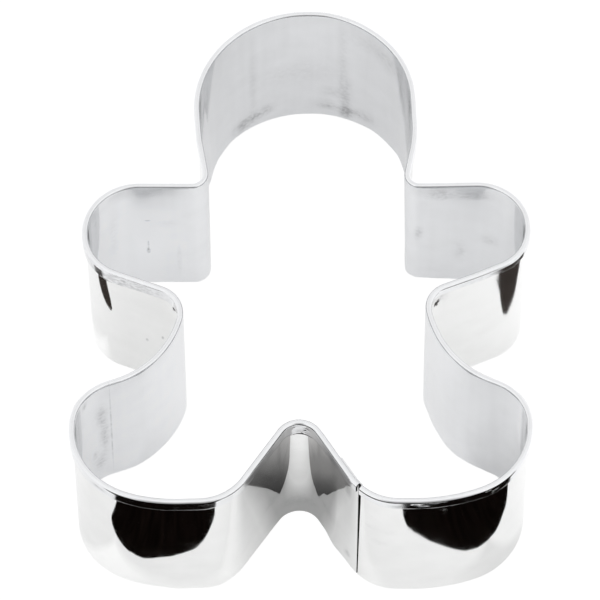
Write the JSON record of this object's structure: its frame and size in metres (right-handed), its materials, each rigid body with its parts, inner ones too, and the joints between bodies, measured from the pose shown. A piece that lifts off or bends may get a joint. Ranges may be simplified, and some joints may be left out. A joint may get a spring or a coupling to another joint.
{
  "type": "cookie cutter",
  "caption": "Gingerbread-man cookie cutter of bent stainless strip, with a rolled top rim, a plain cutting edge and a spot-welded lap seam beside the crotch.",
  "frame": {"origin": "middle of the figure's box, on the plane of the cutting edge", "axes": "+X to the figure's right hand seen from the rim, +Y to the top of the head, +Z from the cutting edge up to the rolled rim"},
  "size_m": [0.0604, 0.0752, 0.025],
  "materials": {
    "polished_strip": "polished stainless strip",
    "weld_metal": "bare fused stainless"
  },
  "bodies": {
    "root": {"cutter_band": "polished_strip", "spot_weld_lower": "weld_metal", "spot_weld_upper": "weld_metal"}
  },
  "joints": []
}
